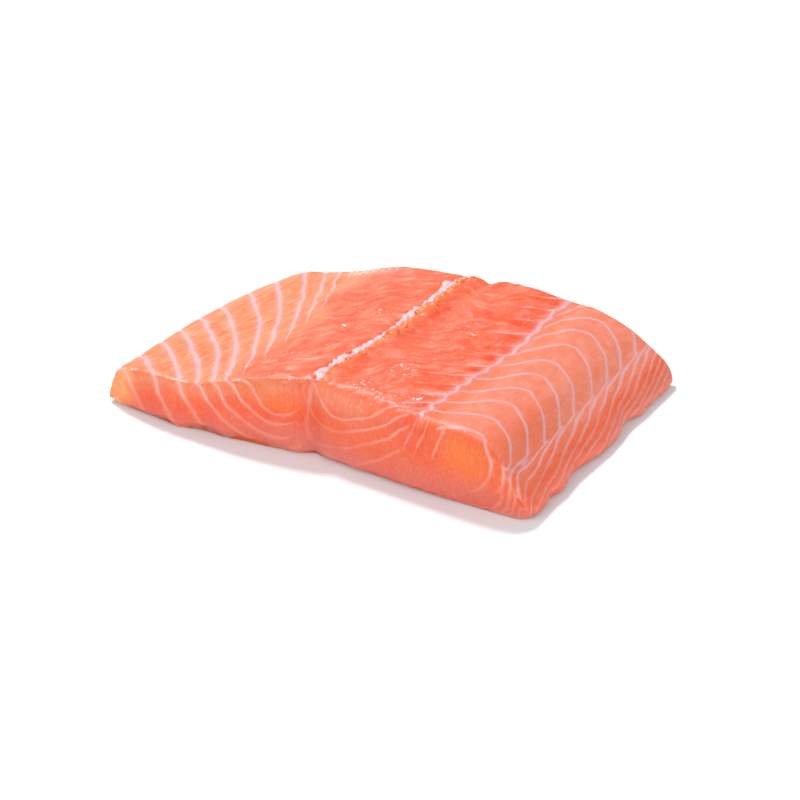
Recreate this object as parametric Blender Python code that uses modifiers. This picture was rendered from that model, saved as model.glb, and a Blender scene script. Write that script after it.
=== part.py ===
"""Raw salmon fillet: one centre-cut portion lying with its bone side up.

X runs across the fish, from the thin belly edge to the rounded back.
Y runs along the fish, from the thick cut at the front to the tail side.
The form is a lattice cage, placed by section rules and softened by subdivision.
"""

import bmesh
import bpy
import numpy as np
from mathutils import Matrix, Vector

MM = 0.001

# Overall plan, in millimetres
FRONT_LINE = -52.2        # front cut at the spine
BACK_LINE = 49.9          # rear cut at the spine
BACK_SLANT = 0.10         # the rear cut runs back toward the loin
BELLY_BOW = 6.8           # how far the belly stands out of the front cut
LOIN_BOW = 2.9            # how far the loin stands out of the front cut

# Top contour of the front cut and of the rear cut: station, x, height
FRONT_SECTION = {
    "edge": (-82.8, 10.5),
    "lip": (-80.4, 15.0),
    "rim": (-75.3, 16.9),
    "belly": (-62.0, 19.0),
    "flap": (-45.0, 20.9),
    "rise": (-31.0, 25.7),
    "spine": (-1.5, 30.6),
    "middle": (22.0, 30.4),
    "septum": (42.0, 29.4),
    "crest": (61.0, 28.9),
    "shoulder": (71.0, 25.2),
    "ridge": (77.5, 16.5),
}
REAR_SECTION = {
    "edge": (-70.8, 6.0),
    "lip": (-68.3, 10.4),
    "rim": (-63.2, 13.2),
    "belly": (-53.0, 15.8),
    "flap": (-41.0, 18.9),
    "rise": (-27.0, 24.0),
    "spine": (4.5, 27.9),
    "middle": (29.0, 28.6),
    "septum": (45.5, 25.8),
    "crest": (57.0, 24.0),
    "shoulder": (67.5, 19.5),
    "ridge": (74.7, 14.4),
}

# Rounding of the top edges along the two cuts, by station
FRONT_ROUNDING = [1.5, 1.5, 1.5, 1.5, 1.8, 2.4, 5.0, 8.5, 6.0, 4.5, 4.0, 3.0]
REAR_ROUNDING = [1.5, 1.5, 1.5, 2.0, 2.0, 3.0, 4.0, 4.0, 3.5, 3.0, 3.0, 2.5]

# Walls
FOOT_ROUNDING = 1.3       # soft lower edge all round
CORNER_ROUNDING = 4.5     # corners seen from above
BELLY_FLARE = 3.2         # the belly edge leans out toward its foot
BELLY_EDGE_BOW = 4.2      # the belly edge bows out between the two cuts
BACK_FLARE = (7.9, 11.2)  # the rounded back stands out below the ridge, front and rear

# Grooves: where they lie, how deep and how wide
SPINE_GROOVE = {"offset": 9.5, "depth": (0.7, 4.0), "width": 4.0}
FRONT_GROOVE = {"x": -2.5, "depth": 1.6, "width": 3.2}
REAR_GROOVE = {"x": 14.0, "depth": 1.4, "width": 3.0}

# Scallops of the lower edge: place along it, depth, half width
BACK_SCALLOPS = [(-37.0, 1.6, 3.5), (-18.0, 2.6, 7.0), (4.0, -0.8, 6.0), (21.5, 2.2, 6.0)]
FRONT_SCALLOPS = [(-54.0, -1.0, 4.0), (-43.0, 1.6, 6.0), (-28.0, 0.8, 6.0), (-7.0, -1.0, 4.0)]

# Cage: rows along the fish, rows in each rounded edge, and stops up the walls
ROWS_BETWEEN = 12
EDGE_ROWS = 2
WALL_STOPS = [0.0, 0.12, 0.4, 0.7, 1.0]
EDGE_SHARE = 0.12         # share of the length that the two rounded edges take

FLESH_COLOUR = (0.90, 0.27, 0.15, 1.0)


def clear_scene():
    for thing in list(bpy.data.objects):
        bpy.data.objects.remove(thing, do_unlink=True)


def smooth_curve(at, stops, values):
    """Read a smooth curve through the stops."""
    stops = np.asarray(stops, float)
    values = np.asarray(values, float)
    steps = np.diff(values) / np.diff(stops)
    slopes = np.empty(len(stops))
    slopes[0] = steps[0]
    slopes[-1] = steps[-1]
    spans = np.diff(stops)
    slopes[1:-1] = (steps[1:] * spans[:-1] + steps[:-1] * spans[1:]) / (spans[:-1] + spans[1:])
    at = np.clip(at, stops[0], stops[-1])
    cell = np.clip(np.searchsorted(stops, at, side="right") - 1, 0, len(stops) - 2)
    span = spans[cell]
    t = (at - stops[cell]) / span
    start = (2 * t**3 - 3 * t**2 + 1) * values[cell] + (t**3 - 2 * t**2 + t) * span * slopes[cell]
    end = (3 * t**2 - 2 * t**3) * values[cell + 1] + (t**3 - t**2) * span * slopes[cell + 1]
    return start + end


def stations():
    """Give each station its share of the way across, by the front contour's length."""
    points = np.array(list(FRONT_SECTION.values()))
    lengths = np.hypot(*np.diff(points, axis=0).T)
    along = np.concatenate([[0.0], np.cumsum(lengths)])
    return along / along[-1]


def hump(x, start, end):
    share = np.clip((x - start) / (end - start), 0.0, 1.0)
    return np.sin(np.pi * share)


def front_cut(x):
    return FRONT_LINE - BELLY_BOW * hump(x, -97.0, -1.5) - LOIN_BOW * hump(x, -1.5, 98.5)


def rear_cut(x):
    return BACK_LINE + BACK_SLANT * x


def bell(distance, width):
    return np.exp(-(distance / width) ** 2)


def edge_turn(share, front_radius, rear_radius, front, rear):
    """Turn the share of the way along into y and the drop of the rounded edge."""
    near = np.clip(share / EDGE_SHARE, 0.0, 1.0) * np.pi / 2
    far = np.clip((1.0 - share) / EDGE_SHARE, 0.0, 1.0) * np.pi / 2
    middle = np.clip((share - EDGE_SHARE) / (1.0 - 2.0 * EDGE_SHARE), 0.0, 1.0)
    start = front + front_radius
    end = rear - rear_radius
    y = start + (end - start) * middle
    y = y - front_radius * np.cos(near) * (share < EDGE_SHARE)
    y = y + rear_radius * np.cos(far) * (share > 1.0 - EDGE_SHARE)
    drop = front_radius * (1.0 - np.sin(near)) + rear_radius * (1.0 - np.sin(far))
    return y, drop


def top_surface(across, along):
    """Place a point of the top from its shares of the way across and along."""
    stops = stations()
    front_points = np.array(list(FRONT_SECTION.values()))
    rear_points = np.array(list(REAR_SECTION.values()))
    front_x = smooth_curve(across, stops, front_points[:, 0])
    rear_x = smooth_curve(across, stops, rear_points[:, 0])
    front_z = smooth_curve(across, stops, front_points[:, 1])
    rear_z = smooth_curve(across, stops, rear_points[:, 1])
    front = front_cut(front_x)
    rear = rear_cut(rear_x)
    y, drop = edge_turn(
        along,
        smooth_curve(across, stops, FRONT_ROUNDING),
        smooth_curve(across, stops, REAR_ROUNDING),
        front,
        rear,
    )
    share = np.clip((y - front) / (rear - front), 0.0, 1.0)
    x = front_x + (rear_x - front_x) * share
    z = front_z + (rear_z - front_z) * share - drop
    near_depth, far_depth = SPINE_GROOVE["depth"]
    depth = near_depth + (far_depth - near_depth) * share**2
    groove_x = blend_station("spine", share) + SPINE_GROOVE["offset"]
    z = z - depth * bell(x - groove_x, SPINE_GROOVE["width"])
    return x, y, z, share


def blend_station(name, share):
    """Give a station's x between the front cut and the rear cut."""
    return FRONT_SECTION[name][0] * (1.0 - share) + REAR_SECTION[name][0] * share


def round_corner(x, y, side, end, inward_x, inward_y):
    """Bring a corner of the outline onto an arc; side and end are the distances to its edges."""
    p = np.clip(1.0 - side / CORNER_ROUNDING, 0.0, 1.0)
    q = np.clip(1.0 - end / CORNER_ROUNDING, 0.0, 1.0)
    x = x + inward_x * CORNER_ROUNDING * p * (1.0 - np.sqrt(1.0 - q**2 / 2.0))
    y = y + inward_y * CORNER_ROUNDING * q * (1.0 - np.sqrt(1.0 - p**2 / 2.0))
    return x, y


def place(across, along, up):
    """Place a point of the lattice's skin, in millimetres."""
    x, y, z, share = top_surface(across, along)
    height = z * up

    # The walls lean and swell below the top
    back_flare = BACK_FLARE[0] + (BACK_FLARE[1] - BACK_FLARE[0]) * share
    belly_bow = BELLY_EDGE_BOW * np.sin(np.pi * share**1.3)
    swell = 1.0 - np.clip((up - 0.2) / 0.8, 0.0, 1.0) ** 1.6
    x = x + back_flare * swell * across**3
    x = x - BELLY_FLARE * (1.0 - up) * (1.0 - across) ** 3 - belly_bow * (1.0 - across) ** 3

    # The outline's corners are round, seen from above
    left = blend_station("edge", share) - BELLY_FLARE - belly_bow
    right = blend_station("ridge", share) + back_flare
    front = front_cut(x)
    rear = rear_cut(x)
    x, y = round_corner(x, y, x - left, y - front, 1.0, 1.0)
    x, y = round_corner(x, y, x - left, rear - y, 1.0, -1.0)
    x, y = round_corner(x, y, right - x, y - front, -1.0, 1.0)
    x, y = round_corner(x, y, right - x, rear - y, -1.0, -1.0)

    # The lower edge turns in all round, and is scalloped in front and under the back
    turn_in = FOOT_ROUNDING * np.clip(1.0 - height / FOOT_ROUNDING, 0.0, 1.0) ** 2
    x = x + turn_in * (1.0 - 2.0 * across)
    y = y + turn_in * (1.0 - 2.0 * along)
    for middle, depth, half_width in BACK_SCALLOPS:
        x = x - depth * bell(y - middle, half_width) * across**6 * (1.0 - up) ** 2
    for middle, depth, half_width in FRONT_SCALLOPS:
        y = y + depth * bell(x - middle, half_width) * (1.0 - along) ** 6 * (1.0 - up) ** 2

    # Upright grooves in the two cuts, below the spine
    front_share = np.clip(1.0 - along / (2.0 * EDGE_SHARE), 0.0, 1.0) ** 2
    rear_share = np.clip(1.0 - (1.0 - along) / (2.0 * EDGE_SHARE), 0.0, 1.0) ** 2
    y = y + FRONT_GROOVE["depth"] * bell(x - FRONT_GROOVE["x"], FRONT_GROOVE["width"]) * front_share
    y = y - REAR_GROOVE["depth"] * bell(x - REAR_GROOVE["x"], REAR_GROOVE["width"]) * rear_share
    return np.stack([x, y, height], axis=-1)


def split_along(cage, axis, cuts):
    edges = [e for e in cage.edges if abs((e.verts[1].co - e.verts[0].co)[axis]) > 0.5]
    bmesh.ops.subdivide_edges(cage, edges=edges, cuts=cuts, use_grid_fill=True)


def lattice_stops():
    """List the cage's stops across, along and up."""
    key = stations()
    across = np.sort(np.concatenate([key, (key[1:] + key[:-1]) / 2]))
    edge = np.linspace(0.0, EDGE_SHARE, EDGE_ROWS + 1)
    between = np.linspace(EDGE_SHARE, 1.0 - EDGE_SHARE, ROWS_BETWEEN + 1)
    along = np.concatenate([edge, between[1:-1], 1.0 - edge[::-1]])
    return across, along, np.array(WALL_STOPS)


def make_fillet():
    across, along, up = lattice_stops()
    cage = bmesh.new()
    bmesh.ops.create_cube(cage, size=1.0)
    for axis, stops in enumerate((across, along, up)):
        split_along(cage, axis, len(stops) - 2)
    where = np.array([vert.co for vert in cage.verts]) + 0.5
    shares = [np.interp(where[:, axis], np.linspace(0.0, 1.0, len(stops)), stops)
              for axis, stops in enumerate((across, along, up))]
    points = place(*shares) * MM
    for vert, point in zip(cage.verts, points):
        vert.co = point
    bmesh.ops.recalc_face_normals(cage, faces=cage.faces)
    mesh = bpy.data.meshes.new("fillet")
    cage.to_mesh(mesh)
    cage.free()
    mesh.shade_smooth()
    fillet = bpy.data.objects.new("fillet", mesh)
    soften = fillet.modifiers.new("Soften", "SUBSURF")
    soften.levels = 1
    soften.render_levels = 1
    return fillet


def flesh_material():
    material = bpy.data.materials.new("raw salmon flesh")
    material.use_nodes = True
    shader = material.node_tree.nodes["Principled BSDF"]
    shader.inputs["Base Color"].default_value = FLESH_COLOUR
    shader.inputs["Roughness"].default_value = 0.32
    shader.inputs["Metallic"].default_value = 0.0
    return material


def rest_at_origin(fillet):
    """Shift the mesh so that its foot's middle is the origin."""
    bpy.context.view_layer.update()
    evaluated = fillet.evaluated_get(bpy.context.evaluated_depsgraph_get())
    softened = evaluated.to_mesh()
    points = np.array([vert.co for vert in softened.vertices])
    evaluated.to_mesh_clear()
    low = points.min(axis=0)
    high = points.max(axis=0)
    middle = Vector(((low[0] + high[0]) / 2, (low[1] + high[1]) / 2, low[2]))
    fillet.data.transform(Matrix.Translation(-middle))


def main():
    clear_scene()
    parts = bpy.data.collections.new("raw salmon fillet")
    bpy.context.scene.collection.children.link(parts)
    fillet = make_fillet()
    fillet.data.materials.append(flesh_material())
    parts.objects.link(fillet)
    rest_at_origin(fillet)


main()
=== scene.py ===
# Raw salmon portion, cut across the fish and lying with its bone side up.
# X runs from the thin belly edge to the rounded back, Y along the fish, Z up out of the flesh.
import math
from functools import reduce
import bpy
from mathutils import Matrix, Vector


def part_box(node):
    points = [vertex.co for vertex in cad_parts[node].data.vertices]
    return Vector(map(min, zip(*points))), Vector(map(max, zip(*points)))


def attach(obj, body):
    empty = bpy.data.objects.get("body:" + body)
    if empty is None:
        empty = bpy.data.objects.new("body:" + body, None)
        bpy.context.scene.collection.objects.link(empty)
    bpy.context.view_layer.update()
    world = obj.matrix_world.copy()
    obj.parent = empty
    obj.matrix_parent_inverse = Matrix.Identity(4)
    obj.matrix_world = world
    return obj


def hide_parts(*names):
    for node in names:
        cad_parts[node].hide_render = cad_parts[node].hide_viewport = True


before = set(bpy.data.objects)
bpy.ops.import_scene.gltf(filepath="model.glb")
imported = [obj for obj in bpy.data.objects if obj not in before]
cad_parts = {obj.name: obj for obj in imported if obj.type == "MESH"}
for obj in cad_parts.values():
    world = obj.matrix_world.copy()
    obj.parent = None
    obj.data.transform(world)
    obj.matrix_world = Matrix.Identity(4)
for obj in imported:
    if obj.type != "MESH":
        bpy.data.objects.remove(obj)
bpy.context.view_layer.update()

from types import SimpleNamespace

import bpy
import numpy as np
from mathutils import Vector, noise
from mathutils.bvhtree import BVHTree

mm = 0.001


# The cut's form, in millimetres: the same surface that the plain part has
form = {
    "frontLine": -52.2,        # front cut at the spine
    "backLine": 49.9,          # rear cut at the spine
    "backSlant": 0.10,         # the rear cut runs back toward the loin
    "bellyBow": 6.8,           # how far the belly stands out of the front cut
    "loinBow": 2.9,            # how far the loin stands out of the front cut
    "bowSpans": ((-97, 95.5), (-1.5, 100)),    # x where each bow starts, and its width
    "bellyFlare": 3.2,         # the belly edge leans out toward its foot
    "bellyEdgeBow": 4.2,       # and bows out between the two cuts
    "backFlare": (7.9, 11.2),  # the rounded back stands out below its ridge, front and rear
    "footRounding": 1.3,
    "cornerRounding": 4.5,
    "tipRounding": 1.6,        # the belly's front corner is sharper
    "edgeShare": 0.12,         # share of the length that each rounded top edge takes
}
# Top contour of both cuts, as (x, height), from the belly edge to the ridge of the back:
# edge, lip, rim, belly, flap, rise, spine, middle, septum, crest, shoulder, ridge
frontSection = np.array([
    (-82.8, 10.5), (-80.4, 15), (-75.3, 16.9), (-62, 19), (-45, 20.9), (-31, 25.7),
    (-1.5, 30.6), (22, 30.4), (42, 29.4), (61, 28.9), (71, 25.2), (77.5, 16.5)])
rearSection = np.array([
    (-70.8, 6), (-68.3, 10.4), (-63.2, 13.2), (-53, 15.8), (-41, 18.9), (-27, 24),
    (4.5, 27.9), (29, 28.6), (45.5, 25.8), (57, 24), (67.5, 19.5), (74.7, 14.4)])
frontRounding = [1.5, 1.5, 1.5, 1.5, 1.8, 2.4, 5, 8.5, 6, 4.5, 4, 3]
rearRounding = [1.5, 1.5, 1.5, 2, 2, 3, 4, 4, 3.5, 3, 3, 2.5]
spineGroove = {"offset": 9.5, "depth": (0.7, 2), "width": 3.2}
cutGrooves = {"front": (-2.5, 1.6, 3.2), "rear": (14, 1.4, 3)}   # x, depth, width
backScallops = [(-37, 1.6, 3.5), (-18, 2.6, 7), (4, -0.8, 6), (21.5, 2.2, 6)]
frontScallops = [(-54, -1, 4), (-43, 1.6, 6), (-28, 0.8, 6), (-7, -1, 4)]


def smoothCurve(at, stops, values):    # a smooth curve read at the given places
    stops, values = np.asarray(stops, float), np.asarray(values, float)
    spans = np.diff(stops)
    steps = np.diff(values) / spans
    slopes = np.concatenate([
        steps[:1],
        (steps[1:] * spans[:-1] + steps[:-1] * spans[1:]) / (spans[:-1] + spans[1:]),
        steps[-1:]])
    at = np.clip(at, stops[0], stops[-1])
    cell = np.clip(np.searchsorted(stops, at, side="right") - 1, 0, len(stops) - 2)
    span = spans[cell]
    t = (at - stops[cell]) / span
    start = (2 * t**3 - 3 * t**2 + 1) * values[cell] + (t**3 - 2 * t**2 + t) * span * slopes[cell]
    end = (3 * t**2 - 2 * t**3) * values[cell + 1] + (t**3 - t**2) * span * slopes[cell + 1]
    return start + end


def smoothStep(low, high, value):
    t = np.clip((value - low) / (high - low), 0, 1)
    return t * t * (3 - 2 * t)


def bell(distance, width):
    return np.exp(-(distance / width) ** 2)


def blend(low, high, share):
    return low + (high - low) * share


sectionLengths = np.hypot(*np.diff(frontSection, axis=0).T)
sectionWidth = sectionLengths.sum()
stations = np.concatenate([[0], np.cumsum(sectionLengths)]) / sectionWidth


def frontCut(x):
    bellyArch, loinArch = (np.sin(np.pi * np.clip((x - start) / width, 0, 1))
                           for start, width in form["bowSpans"])
    return form["frontLine"] - form["bellyBow"] * bellyArch - form["loinBow"] * loinArch


def rearCut(x):
    return form["backLine"] + form["backSlant"] * x


def stationX(index, share):
    return blend(frontSection[index, 0], rearSection[index, 0], share)


def contours(across):                  # x and height of the front cut's top edge, then of the rear one's
    return [smoothCurve(across, stations, places)
            for section in (frontSection, rearSection) for places in section.T]


def topSurface(across, along):
    edge = form["edgeShare"]
    frontX, frontZ, rearX, rearZ = contours(across)
    front, rear = frontCut(frontX), rearCut(rearX)
    nearRadius = smoothCurve(across, stations, frontRounding)
    farRadius = smoothCurve(across, stations, rearRounding)
    near = np.clip(along / edge, 0, 1) * np.pi / 2
    far = np.clip((1 - along) / edge, 0, 1) * np.pi / 2
    middle = np.clip((along - edge) / (1 - 2 * edge), 0, 1)
    y = blend(front + nearRadius, rear - farRadius, middle)
    y = y - nearRadius * np.cos(near) * (along < edge) + farRadius * np.cos(far) * (along > 1 - edge)
    drop = nearRadius * (1 - np.sin(near)) + farRadius * (1 - np.sin(far))
    share = np.clip((y - front) / (rear - front), 0, 1)
    x = blend(frontX, rearX, share)
    grooveDepth = blend(*spineGroove["depth"], share**2)
    groove = grooveDepth * bell(x - stationX(6, share) - spineGroove["offset"], spineGroove["width"])
    return x, y, blend(frontZ, rearZ, share) - drop - groove, share


# Rounds one corner of the outline; side and end are the distances from its two edges
def roundCorner(x, y, side, end, inwardX, inwardY, radius=form["cornerRounding"]):
    p = np.clip(1 - side / radius, 0, 1)
    q = np.clip(1 - end / radius, 0, 1)
    x = x + inwardX * radius * p * (1 - np.sqrt(1 - q**2 / 2))
    return x, y + inwardY * radius * q * (1 - np.sqrt(1 - p**2 / 2))


def placeSkin(across, along, up):      # a point of the skin from its three shares
    x, y, z, share = topSurface(across, along)
    height = z * up
    flare = blend(*form["backFlare"], share)
    bow = form["bellyEdgeBow"] * np.sin(np.pi * share**1.3)
    swell = 1 - np.clip((up - 0.2) / 0.8, 0, 1) ** 1.6
    x = x + flare * swell * across**3
    x = x - (form["bellyFlare"] * (1 - up) + bow) * (1 - across) ** 3
    left = stationX(0, share) - form["bellyFlare"] - bow
    right = stationX(-1, share) + flare
    front, rear = frontCut(x), rearCut(x)
    x, y = roundCorner(x, y, x - left, y - front, 1, 1, form["tipRounding"])
    x, y = roundCorner(x, y, x - left, rear - y, 1, -1)
    x, y = roundCorner(x, y, right - x, y - front, -1, 1)
    x, y = roundCorner(x, y, right - x, rear - y, -1, -1)
    foot = form["footRounding"]
    turnIn = foot * np.clip(1 - height / foot, 0, 1) ** 2
    x = x + turnIn * (1 - 2 * across)
    y = y + turnIn * (1 - 2 * along)
    for middle, depth, width in backScallops:
        x = x - depth * bell(y - middle, width) * across**6 * (1 - up) ** 2
    for middle, depth, width in frontScallops:
        y = y + depth * bell(x - middle, width) * (1 - along) ** 6 * (1 - up) ** 2
    edge = 2 * form["edgeShare"]
    for cut, inward, fromCut in (("front", 1, along), ("rear", -1, 1 - along)):
        grooveX, depth, width = cutGrooves[cut]
        y = y + inward * depth * bell(x - grooveX, width) * np.clip(1 - fromCut / edge, 0, 1) ** 2
    return np.stack([x, y, height], axis=-1)


# The fine skin: a lattice over the top, down the walls and under the foot
skinMesh = {
    "acrossCells": 280,
    "alongCells": 184,
    "wallRows": 30,
    "footStep": 4,             # the underside's cells are this many times larger
    "edgeRows": 0.07,          # share of the rows along the fish in each rounded edge
    "softenPasses": 3,
    "evenPasses": 160,
    "joinBand": 7,             # mm beside a cut's edge in which its lines meet the top's
    "joinPasses": 260,
    "footLength": 105,         # mm that the underside runs along the fish
}
backWall = 0.9995              # share across beyond which the skin is the rounded back's wall
footLine = 0.001               # share of the height below which it is the underside
regions = {"top": 0, "front": 1, "right": 2, "rear": 3, "left": 4, "foot": 5}


def rimOf(grid):                       # the grid's outer points, once round
    return np.concatenate([grid[:-1, 0], grid[-1, :-1], grid[:0:-1, -1], grid[0, :0:-1]])


def buildLattice():
    nA, nL, nW = skinMesh["acrossCells"], skinMesh["alongCells"], skinMesh["wallRows"]
    rows = skinMesh["edgeRows"]
    edge = form["edgeShare"]
    alongStops = np.interp(np.linspace(0, 1, nL + 1), [0, rows, 1 - rows, 1], [0, edge, 1 - edge, 1])
    gridA, gridL = np.meshgrid(np.linspace(0, 1, nA + 1), alongStops, indexing="ij")
    top = np.arange((nA + 1) * (nL + 1)).reshape(nA + 1, nL + 1)
    rim = rimOf(top)
    rimRegion = np.repeat([regions[name] for name in ("front", "right", "rear", "left")], [nA, nL, nA, nL])
    flatA, flatL = gridA.ravel(), gridL.ravel()
    rings = [rim] + [top.size + row * rim.size + np.arange(rim.size) for row in range(nW)]
    wallUp = 1 - np.arange(1, nW + 1) / nW
    step = skinMesh["footStep"]
    innerA, innerL = gridA[step:-1:step, step:-1:step], gridL[step:-1:step, step:-1:step]
    across = np.concatenate([flatA, np.tile(flatA[rim], nW), innerA.ravel()])
    along = np.concatenate([flatL, np.tile(flatL[rim], nW), innerL.ravel()])
    up = np.concatenate([np.ones(top.size), np.repeat(wallUp, rim.size), np.zeros(innerA.size)])

    quads = [np.stack([top[:-1, :-1], top[1:, :-1], top[1:, 1:], top[:-1, 1:]], -1).reshape(-1, 4)]
    labels = [np.full(nA * nL, regions["top"])]
    for upper, lower in zip(rings[:-1], rings[1:]):
        quads.append(np.stack([lower, np.roll(lower, -1), np.roll(upper, -1), upper], -1))
        labels.append(rimRegion)
    faces = np.concatenate(quads).tolist()

    # The underside's grid takes the fine rim's points into its outer cells
    low = np.full(top.shape, -1)
    low.ravel()[rim] = rings[-1]
    inner = up.size - innerA.size + np.arange(innerA.size)
    low[step:-1:step, step:-1:step] = inner.reshape(innerA.shape)

    def side(i, j, di, dj):
        onRim = (di and j in (0, nL)) or (dj and i in (0, nA))
        places = range(step) if onRim else [0]
        return [int(low[i + di * k, j + dj * k]) for k in places]

    for i in range(0, nA, step):
        for j in range(0, nL, step):
            faces.append(side(i, j, 0, 1) + side(i, j + step, 1, 0)
                         + side(i + step, j + step, 0, -1) + side(i + step, j, -1, 0))
    labels = np.concatenate(labels + [np.full(len(faces) - sum(map(len, labels)), regions["foot"])])
    return across, along, up, faces, labels


def linksOf(faces):                    # the quads and their sides, as pairs of points
    quads = np.array([face for face in faces if len(face) == 4])
    here, there = quads.ravel(), np.roll(quads, -1, axis=1).ravel()
    starts, ends = np.concatenate([here, there]), np.concatenate([there, here])
    return SimpleNamespace(quads=quads, starts=starts, ends=ends)


# Free points drift to the mean of their neighbours
def relaxed(values, links, free, passes, pull=1):
    keep = free[links.starts]
    starts, ends = links.starts[keep], links.ends[keep]
    degree = np.maximum(np.bincount(starts, minlength=len(values)), 1)
    moved = free & (np.bincount(starts, minlength=len(values)) > 0)
    for _ in range(passes):
        mean = np.bincount(starts, values[ends], len(values)) / degree
        values = np.where(moved, blend(values, mean, pull), values)
    return values


def normalsOf(points, faces):
    probe = bpy.data.meshes.new("probe")
    probe.from_pydata(points.tolist(), [], faces)
    normals = np.empty(len(points) * 3)
    probe.vertex_normals.foreach_get("vector", normals)
    bpy.data.meshes.remove(probe)
    return normals.reshape(-1, 3)


def lumps(points, size, seed):         # smooth noise from -1 to 1; size in millimetres, one or three
    places = (points / size + seed * 7.3).tolist()
    return 1.6 * np.array([noise.noise(place) for place in places])


# Where the fat lies. Every line has a running number, its order, and the shader draws a line
# wherever the order is whole.
belly = {
    "stripes": [-82.5, -70.5, -58.3, -46.8, -34.6, -22.5, -7.6, 5.9, 20.1, 32, 41.5, 52, 64, 76],
    # the stripes run forward as they climb: how far, by share of the way across
    "shareStops": [-0.12, 0.00, 0.06, 0.10, 0.14, 0.18, 0.20, 0.24, 0.28, 0.32, 0.36],
    "lean": [46, 32, 24, 17.5, 11.2, 4.1, 0, -10.5, -23, -37.5, -54],
    "halfWidths": [0.7, 0.85, 0.9, 0.92, 0.9, 0.85, 0.85, 0.75, 0.65, 0.55, 0.45, 0.4],
    "lastStripe": 11.4,
    "endY": [-58, -40, -20, 0, 20, 32, 50],      # where the stripes run out
    "endX": [-31, -31, -29.5, -31.5, -34, -38.5, -44],
}
lobe = {                       # the belly's half of the cuts: arcs round a point at its top
    "centre": (-10, 27),
    "radii": [15.3, 20.8, 27.4, 34, 43.6, 55.6, 67.3, 80],
    "turnStops": [180, 190, 200, 215, 230, 250, 270, 290],
    "squeeze": [1.02, 1, 0.96, 0.91, 0.86, 0.83, 0.75, 0.64],
    "halfWidths": [0.75, 0.85, 0.85, 0.65, 0.5, 0.4, 0.35],
    "fadeFrom": [-7, -7, -7, -8, -15, -14, -12],     # x where each arc fades
    "fadeOver": 9,
    "innermost": 6.4,
}
loin = {
    "peaks": [-62.5, -50.4, -38.6, -25.8, -13.5, -1.5, 9.9, 24.4, 36.8, 48, 60, 72, 81.5, 91, 99.5, 108, 117],
    "depths": [0.2, 0.3, 0.45, 0.75, 1, 1.05, 1, 1.1, 0.9, 0.75, 0.7, 0.6, 0.5, 0.5, 0.5, 0.5, 0.5],
    # the arcs fall away on both sides of their peak
    "legStops": [0.74, 0.765, 0.785, 0.80, 0.82, 0.84, 0.86, 0.88, 0.895],
    "legFall": [-19, -16.5, -15, -13.9, -10.9, -7, -3.3, -0.9, 0],
    "backStops": [0.895, 0.92, 0.94, 0.96, 0.975, 0.988, 1.00],
    "backFall": [0, -2.8, -4.8, -7.5, -10, -12.3, -14.5],
    # and run on forward down the rounded back, by share of its height
    "wallShares": [0, 0.28, 0.36, 0.44, 0.52, 0.60, 0.68, 0.76, 0.84, 0.90, 0.94, 0.97, 0.985, 1],
    "wallFall": [-82, -70, -66, -61.5, -56, -51, -45.7, -40.8, -34.6, -30.5, -27, -22, -18, -14.5],
    "cornerRun": 12,           # mm that they run along the ridge at the front corner
    "topHalf": 0.36,
    "wallHalf": 0.30,
    "cutHalf": 0.42,
}
rings = {                      # the loin's rings on the cuts
    "centre": (57.6, 18),
    "radii": [0, 12.45, 17.7, 20.2, 22.2, 24.5, 25.7, 26.4, 26.9, 27.4],
    "order": [-0.9, 0, 1, 2, 3, 4, 5, 6, 7, 8],
    # the innermost ring bulges toward the back's upper corner
    "turnStops": [-60, -10, 20, 35, 52, 70, 90, 115, 180],
    "bulge": [1, 1.02, 1.08, 1.11, 1.25, 1.15, 1.07, 1.03, 1],
    # x and turn over which the first ring comes in, and then the later ones
    "first": ((54, 59), (-75, -50)),
    "later": ((45, 50), (-72, -60)),
}
rearCount = 9                  # the rear cut meets this many lines later than the front one
arcs = {                       # the sagging arcs right of the groove, lowest first, each as (x, z)
    "lines": [
        [(-6, 14), (-2, 7), (2, 4), (8, 2.5), (16, 3), (28, 9), (40, 20), (50, 30)],
        [(-6, 20), (-4, 12.5), (-1.5, 7.8), (3, 6), (9, 7), (20, 12), (29, 17), (35.5, 23.2), (42, 28),
         (50, 34)],
        [(-6, 30), (-3, 21), (-1, 17), (3, 14.8), (8, 13.8), (14, 15.5), (22, 19), (30, 24.3), (35, 28.3),
         (42.5, 32), (50, 36)],
        [(-6, 38), (0, 30), (3, 23.5), (7, 20.2), (11, 19.7), (17, 21.7), (23.5, 25), (29, 30), (35, 33.2),
         (50, 38)],
    ],
    "spacing": 5,              # beyond the outermost ones
    "half": 0.27,
    "starts": (-4.2, -2.4),    # x over which they come in
    "ends": (37, 41),
}
septum = {"y": [-52, -40, -30, -20, -10, 0, 10, 20, 30, 40, 52],
          "x": [42, 42, 43, 43.5, 45, 46, 46.5, 46, 45, 44.5, 45]}
spine = {"y": [-50, -42, -32, -25, -20, -10, 0, 10, 20, 30, 40, 50],
         "x": [-0.3, -3, -2, 0, 1, 1.5, 2, 2, 3, 3, 3, 4.5]}
groove = {"z": [0, 3.6, 7.7, 12.4, 18.3, 25.4, 33],    # the seam down the cuts below the spine
          "x": [2.5, 0.5, -2.5, -3.6, -2.8, -1.9, -0.7]}
septumSway = 0.45              # mm to and fro between its branches
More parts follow.
